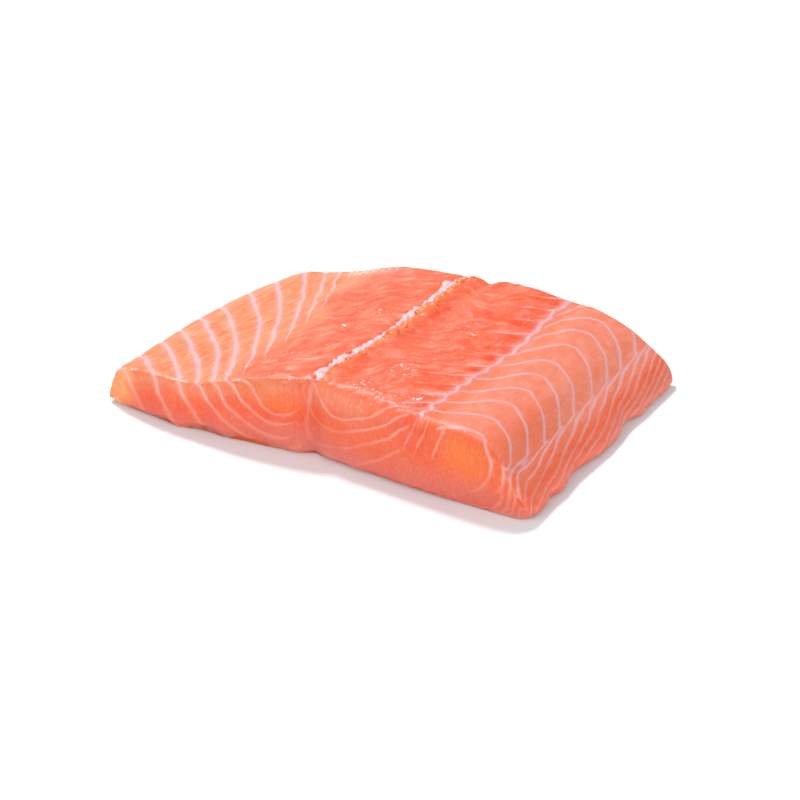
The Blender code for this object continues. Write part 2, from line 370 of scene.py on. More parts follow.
# The front cut's lines run on over its rounded edge: mm of it, and how far they shift along x and z
frontEdge = {"run": 12, "shiftX": 0.577, "shiftZ": 0.667}
feather = {                    # short branches that leave the septum toward the spine
    "starts": [-49, -41, -33, -25, -17, -8, 2, 11, 21, 32, 42],
    "slope": 0.577,
    "length": 17,
    "half": 0.6,
}
fan = {                        # slanting strokes between the arcs and the loin's rings
    "starts": [35.8, 42, 46.4, 52.9],
    "lean": 0.36,
    "height": 30,
    "half": 0.42,
    "edge": 41,                # where the arcs end and the fan begins
    "foot": (12, 18),          # heights over which its strokes come in
    "top": (30, 31.5),         # and run out
    "strengths": ([0.4, 0.6, 1.4, 1.6, 2.4, 2.6], [0.3, 0.4, 0.5, 0.5, 0.5, 0.7]),     # by running number
}


def byNumber(order, values):           # a value for each line, read at its running number
    return np.interp(order, np.arange(len(values)), values)


def countUp(values, places):           # the running number of a line, from the places of all lines
    low = (values - places[0]) / (places[1] - places[0])
    high = (values - places[-1]) / (places[-1] - places[-2]) + len(places) - 1
    inside = np.interp(values, places, np.arange(len(places)))
    return np.select([values < places[0], values > places[-1]], [low, high], inside)


# What the rest reads of the skin, point by point, before its relief is added
def readSkin(across, along, up, points, normals):
    x, y, z = points.T
    topZ, share = topSurface(across, along)[2:]
    frontX, frontTop, rearX, rearTop = contours(across)
    rear = along > 0.5
    facing = smoothStep(0.30, 0.85, np.abs(normals[:, 1])) * (up > footLine)      # 1 on the two cuts
    wallDepth = (1 - up) * topZ
    nearTop = smoothStep(6, 1, wallDepth)
    top = (1 - facing) * nearTop
    toCorner = np.minimum(across, 1 - across) * sectionWidth
    # the same place on the front cut, whose lines run on over its rounded edge
    overEdge = np.clip(y - frontCut(x), 0, frontEdge["run"])       # mm behind the front cut
    cutX = frontX + x - blend(frontX, rearX, share)
    cutZ = z * frontTop / blend(frontTop, rearTop, share)
    cutX = np.where(rear, cutX, x + frontEdge["shiftX"] * overEdge)
    cutZ = np.where(rear, cutZ, z + frontEdge["shiftZ"] * overEdge)
    sway = septumSway * np.sin(2 * np.pi * countUp(y, feather["starts"]) - 0.6)
    return SimpleNamespace(
        across=across, along=along, up=up, points=points, normals=normals, x=x, y=y, z=z, share=share,
        facing=facing, rear=rear.astype(float), wallDepth=wallDepth, toCorner=toCorner, overEdge=overEdge,
        nearTop=nearTop, top=top, side=(1 - facing) * (1 - top), cutX=cutX, cutZ=cutZ,
        onCuts=(along * (1 - along) < 1e-9) & (up > footLine) & (across > 0.0005) & (across < backWall),
        fromEdge=np.minimum(wallDepth, toCorner),
        fromSpine=x - smoothCurve(y, spine["y"], spine["x"]),
        fromSeptum=x - smoothCurve(y, septum["y"], septum["x"]) - sway,
        fromGroove=cutX - smoothCurve(cutZ, groove["z"], groove["x"]))


# Lines of the top run smoothly into those of the cuts
def joinCuts(onTop, onCut, skin, links, free):
    cutSide = (skin.facing > 0.5) | (skin.onCuts & (skin.up < 0.97))
    nearCorner = skin.onCuts & (skin.toCorner < 3)
    nearCorner = nearCorner | ((skin.across > backWall) & (skin.overEdge < 5))
    order = np.where(cutSide, onCut + rearCount * skin.rear, onTop)
    return relaxed(order, links, free & ((skin.facing > 0.02) | nearCorner), skinMesh["joinPasses"])


def orderOfBelly(skin, links):
    beyond = skin.across - skin.wallDepth / sectionWidth * (skin.across < 0.001)
    onTop = countUp(skin.y - smoothCurve(beyond, belly["shareStops"], belly["lean"]), belly["stripes"])
    dx, dz = skin.cutX - lobe["centre"][0], np.minimum(skin.cutZ - lobe["centre"][1], -0.1)
    turn = np.degrees(np.arctan2(dz, dx)) % 360
    radius = np.hypot(dx, dz) / smoothCurve(turn, lobe["turnStops"], lobe["squeeze"])
    onCut = len(lobe["radii"]) - 2 - countUp(radius, lobe["radii"])
    nearEdge = skin.fromEdge < skinMesh["joinBand"]
    return joinCuts(onTop, onCut, skin, links, nearEdge), onCut


def widthOfBelly(skin, order, cutOrder):
    pastEnd = skin.x - smoothCurve(skin.y, belly["endY"], belly["endX"])
    shown = 1 - smoothStep(-7, 3, pastEnd + 1.5 * lumps(skin.points, 6, 3))
    shown = shown * (1 - smoothStep(belly["lastStripe"], belly["lastStripe"] + 0.2, order))
    onLobe = 1 - smoothStep(0, lobe["fadeOver"], skin.cutX - byNumber(cutOrder, lobe["fadeFrom"]))
    onLobe = onLobe * (cutOrder < lobe["innermost"]) * (1 - smoothStep(-7, -4.5, skin.cutX))
    topHalf, cutHalf = byNumber(order, belly["halfWidths"]), byNumber(cutOrder, lobe["halfWidths"])
    half = blend(topHalf * shown, cutHalf * onLobe, skin.facing)
    return half * (1 + 0.22 * lumps(skin.points, 5, 5))


def orderOfLoin(skin, links):
    peaks = np.array(loin["peaks"])
    leg = smoothCurve(skin.across, loin["legStops"], loin["legFall"])
    back = smoothCurve(skin.across, loin["backStops"], loin["backFall"])
    wall = smoothCurve(skin.up, loin["wallShares"], loin["wallFall"])
    onWall = (skin.across > backWall) * 1
    ridgeRun = loin["cornerRun"] * smoothStep(-38, -50, skin.y)
    ridgeRun = ridgeRun * smoothStep(0.978, 0.997, skin.across) * smoothStep(0.5, 1, skin.up)
    peakY = skin.y.copy()
    for _ in range(4):
        depth = np.interp(peakY, peaks, loin["depths"])
        steep = np.clip(0.80 - skin.across, 0, 0.035) * 300 * smoothStep(5, 18, peakY)
        peakY = skin.y - blend(leg * depth - steep + back, wall, onWall) + ridgeRun
    order = countUp(peakY, peaks) - 1
    dx, dz = skin.cutX - rings["centre"][0], skin.cutZ - rings["centre"][1]
    radius, turn = np.hypot(dx, dz), np.degrees(np.arctan2(dz, dx))
    low = (turn / 37) ** 2 * (dz < 0) * smoothStep(17, 20, radius)
    bulge = smoothCurve(turn, rings["turnStops"], rings["bulge"])
    bulge = blend(bulge, 1, smoothStep(14.5, 19, radius))
    radius = radius / (1 + 0.19 * np.minimum(low, 1)) / bulge
    onCut = np.interp(radius, rings["radii"], rings["order"])
    nearEdge = (skin.facing < 0.5) | (skin.toCorner < 3) | ((skin.rear > 0) & (skin.fromEdge < 5))
    return joinCuts(order, onCut, skin, links, nearEdge), onCut


def widthOfLoin(skin, cutOrder):
    onTop = smoothStep(0.3, 2.5, skin.fromSeptum)
    half = blend(loin["topHalf"], loin["wallHalf"], skin.across > backWall)
    turn = np.degrees(np.arctan2(skin.cutZ - rings["centre"][1], skin.cutX - rings["centre"][0]))
    leaning = skin.cutX + 0.9 * np.maximum(skin.cutZ - 22, 0)
    firstRing, laterRings = (smoothStep(*rings[name][0], place) * smoothStep(*rings[name][1], turn)
                             for name, place in (("first", leaning), ("later", skin.cutX)))
    onCut = np.where(cutOrder < 0.5, firstRing, laterRings)
    half = blend(half * onTop, loin["cutHalf"] * onCut, skin.facing)
    return half * (1 + 0.25 * lumps(skin.points, 4, 6))


def fineLines(skin):                   # arcs and fan on the cuts, branches of the septum on the top
    cutX, cutZ, rear = skin.cutX, skin.cutZ, skin.rear > 0
    heights = [smoothCurve(cutX, *np.transpose(line)) for line in arcs["lines"]]
    arcOrder = np.minimum(cutZ - heights[0], 0) / arcs["spacing"]
    for low, high in zip(heights[:-1], heights[1:]):
        arcOrder += np.clip((cutZ - low) / (high - low), 0, 1)
    arcOrder += np.maximum(cutZ - heights[-1], 0) / arcs["spacing"]
    arcHalf = arcs["half"] * (np.abs(arcOrder - 1.5) < 1.9)
    arcHalf = arcHalf * smoothStep(*arcs["starts"], cutX) * (1 - smoothStep(*arcs["ends"], cutX))
    fanX = cutX + fan["lean"] * (fan["height"] - cutZ)
    fanOrder = countUp(fanX, fan["starts"])
    fanHalf = fan["half"] * np.interp(fanOrder, *fan["strengths"]) * (np.abs(fanOrder - 1.5) < 1.9)
    fanHalf = fanHalf * smoothStep(*fan["foot"], cutZ) * (1 - smoothStep(*fan["top"], cutZ))
    onFan = fanX > fan["edge"]
    shown = np.where(rear, smoothStep(0.5, 0.9, skin.facing), smoothStep(6, 4.5, skin.overEdge))
    cutHalf = np.where(onFan, fanHalf, arcHalf) * shown
    branchOrder = countUp(skin.y - feather["slope"] * skin.fromSeptum, feather["starts"])
    reach = np.clip(1 + skin.fromSeptum / feather["length"], 0, 1)
    reach = reach * (0.6 + 0.8 * np.clip(lumps(skin.points, 9, 8), -0.5, 0.5))
    shown = np.where(rear, 1 - 2 * skin.facing, smoothStep(6, 7.5, skin.overEdge))
    branchHalf = feather["half"] * reach * (skin.fromSeptum < 0) * (skin.up > 0.999) * shown
    onCut = np.where(rear, skin.facing > 0.5, skin.overEdge < 6)
    order = np.where(onCut, np.where(onFan, fanOrder, arcOrder), branchOrder)
    return order, np.where(onCut, cutHalf, branchHalf) * (1 + 0.3 * lumps(skin.points, 4, 7))


def spacingOf(order, points, links):   # millimetres from one line to the next, at each point
    quads, count = links.quads, len(points)
    a, b, c, d = (points[quads[:, k]] for k in range(4))
    orderA, orderB, orderC, orderD = (order[quads[:, k]] for k in range(4))
    alongU, alongV = (b - a + c - d) / 2, (d - a + c - b) / 2
    changeU = (orderB - orderA + orderC - orderD) / 2
    changeV = (orderD - orderA + orderC - orderB) / 2
    uu, vv, uv = (alongU**2).sum(1), (alongV**2).sum(1), (alongU * alongV).sum(1)
    area = np.maximum(uu * vv - uv**2, 1e-9)
    steepness = changeU**2 * vv - 2 * changeU * changeV * uv + changeV**2 * uu
    slope = np.sqrt(np.maximum(steepness, 0) / area)
    total, weight = np.zeros(count), np.zeros(count)
    for k in range(4):
        total += np.bincount(quads[:, k], slope, count)
        weight += np.bincount(quads[:, k], minlength=count)
    return 1 / np.clip(total / np.maximum(weight, 1), 0.03, 3)


def lineFrom(order, gap, half):        # 1 on a line, 0 away from it
    distance = np.abs(order - np.round(order)) * gap
    return smoothStep(1, 0.2, distance / np.maximum(half * 1.3, 0.05)) * (half > 0.15)


# Colour zones, each from 0 to 1 over the skin
tones = {
    "bellyEnds": (-42, -22),       # x over which the pale belly turns into the red middle
    "loinStarts": (43, 52),
    # middle and size of a patch, on the cuts as x and z
    "tipGlow": ((-81, 8), (6, 6.5)),
    "heartGlow": ((60.5, 20.5), (10, 8)),
    "crescent": ((-13, 18.6), (7.5, 1.8)),
    "redFront": ((38, 20), (11, 8)),
    "bulge": ((10, 26.8), (15, 5)),    # paler, on the front's rounded edge: partly paler flesh, partly painted wet sheen
    # and on the top as x and y
    "membrane": ((-31, 42), (13, 5)),
    "paleMiddle": ((14, 24), (7, 14)),
    "wetFront": ((8, -51), (26, 7)),
    # the rear rim's pale line, partly the membrane and partly painted highlight: share of the length, its
    # width, then x and its reach
    "rearRim": (0.864, 0.019, -34, 13),
    # where small painted glints and the scratches gather on the top, as (x, y, reach)
    "paintedGlints": [(13, -46, 4.5), (19, -47, 4), (27, -44, 2.5), (21, -28, 4.5), (35, -42, 3.5),
                 (-14, -8, 3), (-9, 8, 3), (26, 8, 4), (-22, -38, 4), (-33, -50, 5)],
    "scratches": [(27, -8, 5), (20, -30, 4), (33, 6, 3)],
}


def patch(a, b, middle, size):
    return np.exp(-((a - middle[0]) / size[0]) ** 2 - ((b - middle[1]) / size[1]) ** 2)


def gather(skin, places):
    return sum(patch(skin.x, skin.y, place[:2], (place[2], place[2])) for place in places)


def colourZones(skin):
    points, x, y, facing, top, side = skin.points, skin.x, skin.y, skin.facing, skin.top, skin.side
    loose, small = lumps(points, 11, 11), lumps(points, 5, 13)
    onCut = lambda name: patch(skin.cutX, skin.cutZ, *tones[name])
    onSkin = lambda name: patch(x, y, *tones[name])
    front, rightSide, speckled = 1 - skin.rear, side * (x > 0), np.clip(small, 0, 1)

    onBelly = 1 - smoothStep(*tones["bellyEnds"], x + 5 * loose)
    onLoin = smoothStep(*tones["loinStarts"], x + 1.5 * loose)
    middle = (1 - onBelly) * (1 - onLoin)
    redRidge = smoothStep(0.87, 0.95, skin.across) * smoothStep(0, -28, y)
    frontBand = bell(skin.wallDepth, 5) * (1 - smoothStep(-14, -4, skin.cutX)) * facing

    besideSpine = bell(skin.fromSpine - 6, 5)
    redMiddle = np.clip(0.32 + 0.35 * loose + 0.25 * small + 0.3 * besideSpine, 0, 1)
    onLobe = (1 - smoothStep(-8, 0, skin.cutX)) * smoothStep(3, 10, skin.wallDepth)
    redCut = np.clip(0.45 + 0.3 * loose + 0.3 * onLobe, 0, 1)
    besideGroove = bell(skin.fromGroove, 5) * smoothStep(22, 16, skin.cutZ)
    deep = top * middle * redMiddle + facing * (redCut + 0.5 * besideGroove) + side * (0.35 + 0.3 * loose)
    deep = deep * (1 - 0.9 * frontBand) + 0.5 * facing * front * onCut("redFront")

    glow = facing * (onCut("tipGlow") + 0.9 * onCut("heartGlow") + 0.8 * onCut("crescent"))
    glow = glow + 0.35 * top * bell(skin.fromSeptum - 3, 3) + 0.4 * top * besideSpine * speckled
    lowRim = np.minimum(facing * front * bell(x - 4, 14) + 0.3 * rightSide + 0.4 * skin.rear, 1)
    mauve = 0.95 * smoothStep(10, 1, skin.z + 1.2 * small) * lowRim * (skin.up < 0.9)
    # a painted highlight along the front cut's top edge, and a pale line along the rear rim, partly membrane
    # and partly painted highlight; both take the glint colour
    lip = 4 * facing * (1 - facing) * front * smoothStep(-2, -6, x) * (skin.wallDepth < 2.5)
    lip = lip * smoothStep(0.1, 0.5, lumps(points, 5, 14) + 0.25)
    rimShare, rimWidth, rimX, rimReach = tones["rearRim"]
    rearRim = smoothStep(3, 1, skin.wallDepth) * bell(skin.along - rimShare, rimWidth)
    rearRim = rearRim * bell(x - rimX, rimReach) * (0.8 + 0.5 * small)
    zones = {
        "peach": top * onBelly + frontBand + 0.6 * side * (x < 0),
        "pink": top * (onLoin * (1 - 0.65 * redRidge) + 0.45 * onSkin("paleMiddle")) + 0.25 * rightSide,
        "deep": deep,
        "glow": glow * (1 - 0.4 * speckled),
        "mauve": mauve + 0.8 * top * onSkin("membrane"),
        "wet": top * (0.35 * middle + 0.65 * onSkin("wetFront")) + 0.15,
        # partly paler flesh, partly painted wet sheen, on the rounded front edge and at the tip
        "bulge": (onCut("bulge") + 0.75 * onCut("tipGlow")) * front,
        # painted glints: highlights of the wet top painted into the colour
        "paintedGlint": gather(skin, tones["paintedGlints"]) * smoothStep(7, 3, skin.wallDepth),
        "depth": skin.wallDepth / 24,
        "lip": lip + 1.3 * rearRim,
        "side": side,
        "hatch": top * onBelly,
    }
    return {name: np.clip(zone, 0, 1) for name, zone in zones.items()}


relief = {                     # millimetres along the skin's normal
    "middle": 0.38,
    "elsewhere": 0.16,
    "streaks": 0.26,
    "grain": 0.05,
    "stripes": -0.16,
    "sideLines": -0.30,
    "cutLines": -0.12,
    "topLines": -0.10,
    "septum": 0.45,
    "spineFurrow": -0.9,
    "besideSpine": 0.60,
    "groove": -0.55,
    "frontLip": 0.22,
    "wedges": -0.30,           # hollows between the septum's branches
    "raggedFoot": 1,
}
streaks = {                    # long smears that cross the middle, red and pale; the pale ones are partly painted wet sheen
    "turn": math.radians(48),        # off the fish's length
    "scratchTurn": math.radians(33),
    "bends": [(4.5, 14, 41), (0.8, 4, 42)],     # mm to and fro, size and seed
}
frontLift = {"x": [-79, -62, -57, -54, -46, -42, -36, -25, -10, 5, 30, 55, 78],
             "lift": [0.3, 1.5, 2, 0.1, 2.2, 2.8, 1.8, 1.4, 0.4, 0.7, 1.1, 0.8, 0.4]}


def turned(skin, turn, bend=0):      # places across and along a slanting grain
    return (skin.x * math.cos(turn) - skin.y * math.sin(turn) + bend,
            skin.x * math.sin(turn) + skin.y * math.cos(turn))


def streakShares(skin):
    bend = sum(reach * lumps(skin.points, size, seed) for reach, size, seed in streaks["bends"])
    acrossStreaks, alongStreaks = turned(skin, streaks["turn"], bend)
    alongScratches, acrossScratches = turned(skin, streaks["scratchTurn"])
    return {
        "acrossStreaks": acrossStreaks, "alongStreaks": alongStreaks,
        "middle": skin.top * smoothStep(-36, -24, skin.x) * smoothStep(47, 41, skin.x),
        "scratchZone": np.clip(gather(skin, tones["scratches"]), 0, 1) * skin.nearTop,
        "acrossScratches": acrossScratches, "alongScratches": alongScratches,
    }


def shapeRelief(skin, lines):
    shares = streakShares(skin)
    points, top, middle = skin.points, skin.top, shares["middle"]
    side = skin.side * (skin.up > footLine)
    drawnOut = np.stack([shares["acrossStreaks"], shares["alongStreaks"] / 5, skin.z / 3], axis=-1)
    crisp = 4 * skin.facing * (1 - skin.facing) * (1 - skin.rear)
    crisp = crisp * (skin.x < 0) * (skin.wallDepth < 2)
    besideSpine = bell(skin.fromSpine - 5, 3) * (0.6 + 0.9 * lumps(points, 4.5, 26))
    branch = countUp(skin.y - feather["slope"] * skin.fromSeptum, feather["starts"])
    between = np.abs(branch % 1 - 0.5) * 2
    tail = smoothStep(-0.8, -2, skin.fromSeptum) * smoothStep(-16, -5, skin.fromSeptum)
    wedge = tail * top * (0.75 + 0.5 * lumps(points, 6, 28))
    parts = {
        "streaks": middle * (lumps(drawnOut, 1.8, 22) + 0.6 * lumps(points, 5, 23)),
        "grain": lumps(points, 1.8, 24),
        "stripes": lines["stripe"],
        "topLines": lines["loin"] * top,
        "sideLines": lines["loin"] * side,
        "cutLines": lines["loin"] * skin.facing,
        "septum": top * bell(skin.fromSeptum, 1.4) * (0.8 + 0.5 * lumps(points, 4, 25)),
        "spineFurrow": top * bell(skin.fromSpine, 1.6),
        "besideSpine": top * besideSpine * smoothStep(0.92, 0.70, skin.share),
        "groove": skin.facing * bell(skin.fromGroove, 1.3),
        "frontLip": crisp * (0.5 + lumps(points, 3, 27)),
        "wedges": wedge * smoothStep(0.25, 0.5, 1 - between - 0.035 * np.abs(skin.fromSeptum)),
    }
    height = lumps(points, 15, 21) * blend(relief["elsewhere"], relief["middle"], middle)
    height = height + sum(relief[name] * part for name, part in parts.items())
    return height * smoothStep(0, 1.2, skin.z), wedge


def raggedFoot(skin, isFoot):          # the lower rim isn't cut straight: it lifts and juts here and there
    points = skin.points.copy()
    low = np.exp(-skin.z / 2.5) * ~isFoot
    lift = smoothCurve(skin.x, frontLift["x"], frontLift["lift"])
    lift = lift * (skin.along < 0.5) * smoothStep(0.35, 0.05, skin.along)
    lift = lift + 0.5 * np.clip(lumps(points, 7, 31), 0, 1)
    points[:, 2] += lift * low
    jut = relief["raggedFoot"] * low * (0.7 * lumps(points, 6, 32) + 0.5 * lumps(points, 2.6, 33))
    points[:, :2] += skin.normals[:, :2] * jut[:, None]
    return points


uvSheet = {"size": 226, "middle": (116, 132), "footScale": 0.28, "footMiddle": (40, 19)}


def unfold(mesh, skin, labels):        # the walls fold out round the top; the underside lies beside them
    nA, nL, nW = skinMesh["acrossCells"], skinMesh["alongCells"], skinMesh["wallRows"]
    grid = skin.points[:(nA + 1) * (nL + 1)].reshape(nA + 1, nL + 1, 3)
    sheetU, sheetV = np.zeros(grid.shape[:2]), np.zeros(grid.shape[:2])
    sheetU[1:] = np.cumsum(np.linalg.norm(np.diff(grid, axis=0), axis=-1), axis=0)
    sheetV[:, 1:] = np.cumsum(np.linalg.norm(np.diff(grid, axis=1), axis=-1), axis=1)
    sheetU -= sheetU[nA // 2][None]
    sheetV -= sheetV[:, nL // 2][:, None]
    index = np.arange(sheetU.size).reshape(sheetU.shape)
    rim = rimOf(index)
    inner = np.zeros(len(skin.x) - index.size - nW * rim.size, int)
    owner = np.concatenate([index.ravel(), np.tile(rim, nW), inner])
    corner = np.empty(len(mesh.loops), int)
    mesh.loops.foreach_get("vertex_index", corner)
    region = np.repeat(labels, [face.loop_total for face in mesh.polygons])
    depth, owners = skin.wallDepth[corner], owner[corner]
    onFoot = region == regions["foot"]
    sheet = []
    axes = ((sheetU, skin.x, "right", "left"), (sheetV, skin.y, "rear", "front"))
    for axis, (places, flat, ahead, behind) in enumerate(axes):
        outward = (region == regions[ahead]) * 1 - (region == regions[behind])
        unfolded = places.ravel()[owners] + depth * outward + uvSheet["middle"][axis]
        foot = flat[corner] * uvSheet["footScale"] + uvSheet["footMiddle"][axis]
        sheet.append(np.where(onFoot, foot, unfolded))
    layer = mesh.uv_layers.new(name="OFBake")
    layer.data.foreach_set("uv", (np.stack(sheet, axis=-1) / uvSheet["size"]).ravel())
    print("unfolded skin spans", *(np.round([part.min(), part.max()], 1) for part in sheet))


# What the skin hands to its material, three values to each attribute
skinRecords = {
    "zonesA": ("peach", "pink", "deep"),
    "zonesB": ("glow", "mauve", "wet"),
    "zonesC": ("bulge", "paintedGlint", "depth"),
    "zonesD": ("lip", "side", "hatch"),
    "middles": ("fromSpine", "fromSeptum", "fromGroove"),
    "grain": ("acrossGrain", "alongGrain", "facing"),
    "streaks": ("acrossStreaks", "alongStreaks", "middle"),
    "scratches": ("scratchZone", "acrossScratches", "alongScratches"),
    "shades": ("wedge", "onTop", "onFoot"),
}


def buildFillet():
    across, along, up, faces, labels = buildLattice()
    links = linksOf(faces)
    wallQuads = links.quads[:np.count_nonzero(labels < regions["foot"])]
    isFoot = (up < footLine) & (np.bincount(wallQuads.ravel(), minlength=len(up)) == 0)
    # the cuts' cells fold where the ridge meets the rounded back, so they are evened out there
    onCuts = (along * (1 - along) < 1e-9) & (up > footLine) & (up < 0.999)
    uneven = onCuts & (across > 0.82) & (across < 0.9999)
    points = placeSkin(across, along, up)
    softened, evened = (up > footLine, skinMesh["softenPasses"], 0.5), (uneven, skinMesh["evenPasses"], 1)
    for free, passes, pull in (softened, evened):
        for axis in range(3):
            points[:, axis] = relaxed(points[:, axis], links, free, passes, pull)
    skin = readSkin(across, along, up, points, normalsOf(points, faces))

    sway = 0.35 * lumps(points, 9, 1) + 0.15 * lumps(points, 4, 2)      # lines wander by this many mm
    stripeOrder, lobeOrder = orderOfBelly(skin, links)
    loinOrder, ringOrder = orderOfLoin(skin, links)
    fineOrder, fineHalf = fineLines(skin)
    families = {}
    for name, order, half, wander in (
            ("stripe", stripeOrder, widthOfBelly(skin, stripeOrder, lobeOrder), 1.4),
            ("loinLine", loinOrder, widthOfLoin(skin, ringOrder), 1),
            ("fineLine", fineOrder, fineHalf, 1)):
        gap = spacingOf(order, points, links)
        families[name] = (order + wander * sway / gap, gap, half)
    lines = {"stripe": lineFrom(*families["stripe"]), "loin": lineFrom(*families["loinLine"])}
    zones = colourZones(skin)
    height, wedge = shapeRelief(skin, lines)
    skin.points = raggedFoot(skin, isFoot) + skin.normals * height[:, None]
    fromRim = np.minimum(skin.toCorner, skinMesh["footLength"] * np.minimum(along, 1 - along))
    records = {
        **vars(skin), **zones, **streakShares(skin),
        "acrossGrain": skin.x - 0.06 * skin.y - 0.25 * skin.wallDepth * skin.facing,
        "alongGrain": skin.y - skin.wallDepth,
        "wedge": np.clip(wedge, 0, 1),
        "onTop": skin.top,
        "onFoot": isFoot * smoothStep(3, 9, fromRim),
    }

    low, high = skin.points.min(axis=0), skin.points.max(axis=0)
    boxLow, boxHigh = (np.array(corner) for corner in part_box("fillet"))
    fit = lambda place: boxLow + (place - low) / (high - low) * (boxHigh - boxLow)
    mesh = bpy.data.meshes.new("salmonFlesh")
    mesh.from_pydata(fit(skin.points).tolist(), [], faces)
    mesh.shade_smooth()
    kept = {name: [records[part] for part in parts] for name, parts in skinRecords.items()}
    for name, columns in {**families, **kept}.items():
        layer = mesh.attributes.new(name, "FLOAT_VECTOR", "POINT")
        layer.data.foreach_set("vector", np.stack(columns, axis=-1).astype(np.float32).ravel())
    unfold(mesh, skin, labels)
    fillet = bpy.data.objects.new("salmonFlesh", mesh)
    bpy.context.scene.collection.objects.link(fillet)
    return fillet, fit


def srgb(red, green, blue):            # a screen colour, 0 to 255, as the shader's linear values
    def linear(value):
        value /= 255
        return value / 12.92 if value <= 0.04045 else ((value + 0.055) / 1.055) ** 2.4
    return (linear(red), linear(green), linear(blue), 1)


studioLight = {"level": 1.24, "veil": 0.035}    # what the room's light and the skin's sheen do to a colour


def seen(red, green, blue):            # the base colour that looks like this in the studio's light
    shown = [(value - studioLight["veil"]) / studioLight["level"] for value in srgb(red, green, blue)[:3]]
    return (*[max(value, 0.004) for value in shown], 1)


fleshColours = {
    "middle": seen(245, 119, 83),
    # partly paler flesh, partly painted wet sheen on the middle
    "middlePaleSheen": seen(248, 150, 124),
    "middleDeep": seen(240, 92, 56),
    "peach": seen(243, 126, 76),
    "peachPale": seen(246, 144, 104),
    "pink": seen(245, 138, 108),
    "pinkPale": seen(248, 152, 127),
    "cut": seen(250, 116, 72),
    "deep": seen(243, 92, 58),
    "low": seen(236, 126, 112),
    "side": seen(252, 112, 72),
    "glow": seen(255, 134, 50),
    # the rounded front edge's tone: partly paler flesh, partly painted wet sheen
    "bulge": seen(252, 150, 116),
    "mauve": seen(228, 148, 138),
    "hatch": seen(252, 188, 140),
    "hatchDark": seen(243, 114, 62),
    "fat": seen(230, 188, 196),
    "fatCut": seen(246, 186, 174),
    "fatLow": seen(249, 152, 130),
    "stripe": seen(217, 188, 195),
    "spineFat": seen(226, 198, 210),
    "spineFatRosy": seen(236, 190, 190),
    "roe": seen(254, 140, 88),
    "roeDeep": seen(250, 112, 66),
    # painted glints: near-white highlights painted into the colour
    "paintedGlint": seen(255, 246, 240),
    "under": seen(190, 120, 98),
    "tip": seen(255, 190, 112),
}
# Plain noise, as millimetres and detail
spots = {
    "broad": (13, 3), "small": (4, 3), "tiny": (1.1, 3),
    "glintSpots": (1.3, 1), "rareSpecks": (1.9, 1), "gaps": (2.2, 2),
}
# Noise drawn out along the flesh: which way it runs, mm across and along, seed, detail
grains = {
    "fibres": ("grain", 0.9, 8, 0, 2),
    "threads": ("grain", 0.34, 5, 4, 2),
    "micro": ("grain", 0.42, 1.3, 3, 3),
    "strokes": ("hatch", 0.36, 9, 6, 2),
    "smears": ("streak", 2, 9, 9, 4),
    "blotchesAndSheen": ("streak", 4.5, 10, 15, 3),
    "hairsAndSheen": ("streak", 0.5, 4, 2, 3),
    "scratches": ("scratch", 0.5, 5, 5, 2),
}
hatchLean = -0.26              # the belly's strokes lie this much off the grain
# Coats of colour, in the order in which they are laid: the colour and the shares of it, which are
# multiplied. A share is a number, a part of the skin, or a ramp over one: where it starts and is
# full, and what it runs from and to.
# the pale smears and blotches are partly paler flesh and partly painted wet sheen; the deep ones are the
# flesh's own red
redCoats = [
    ("middlePaleSheen", ("smears", 0.46, 0.64)),
    ("middleDeep", ("smears", 0.46, 0.30), 0.65),
    ("pinkPale", ("blotchesAndSheen", 0.50, 0.62), 0.42),
    ("deep", ("blotchesAndSheen", 0.47, 0.36), 0.42),
]
fleshCoats = [
    ("cut", ("broad", 0.35, 0.65)),
    ("side", "side"),
    ("red", "middle"),
    ("peachMix", "peach"),
    ("pinkMix", "pink"),
    ("deep", "deep", ("small", 0.2, 0.7, 0.45, 1)),
    ("low", "facing", ("depth", 0.30, 0.85, 0, 0.8)),
    ("glow", "glow", 0.85),
    # painted wet sheen, partly paler flesh, on the rounded front edge
    ("bulge", "bulge", 0.8),
    ("mauve", "mauve", 0.6),
    ("tip", "facing", ("xPlace", -0.068, -0.080), ("small", 0.35, 0.65, 0.2, 0.75)),
    ("deep", "wedge", ("fromBranch", 0.62, 0.88, 0, 0.8)),
    ("glow", "middle", ("besideSpine", 3, 0.5), ("small", 0.3, 0.6, 0.08, 0.42)),
    ("fatMix", ("fibres", 0.45, 0.75), ("middle", 0, 1, 0.18, 0.06)),
    ("fatMix", ("threads", 0.50, 0.72), ("peach", 0, 1, 0.10, 0.22),
     ("middle", 0, 1, 1, 0.3), ("facing", 0, 1, 1, 0.5)),
    ("hatchDark", ("strokes", 0.49, 0.42), "hatch", 0.5),
    ("hatch", ("strokes", 0.51, 0.58), "hatch", ("small", 0.35, 0.6, 0.35, 0.75)),
    # pale hairs: partly fat fibres, partly painted wet streaks of highlight
    ("fat", ("hairsAndSheen", 0.58, 0.74), "middle", 0.26),
    ("fat", ("micro", 0.52, 0.70), "fineness"),
    ("deep", ("micro", 0.48, 0.32), "fineness"),
    ("fat", ("scratches", 0.56, 0.68), "scratchZone", 0.4),
]
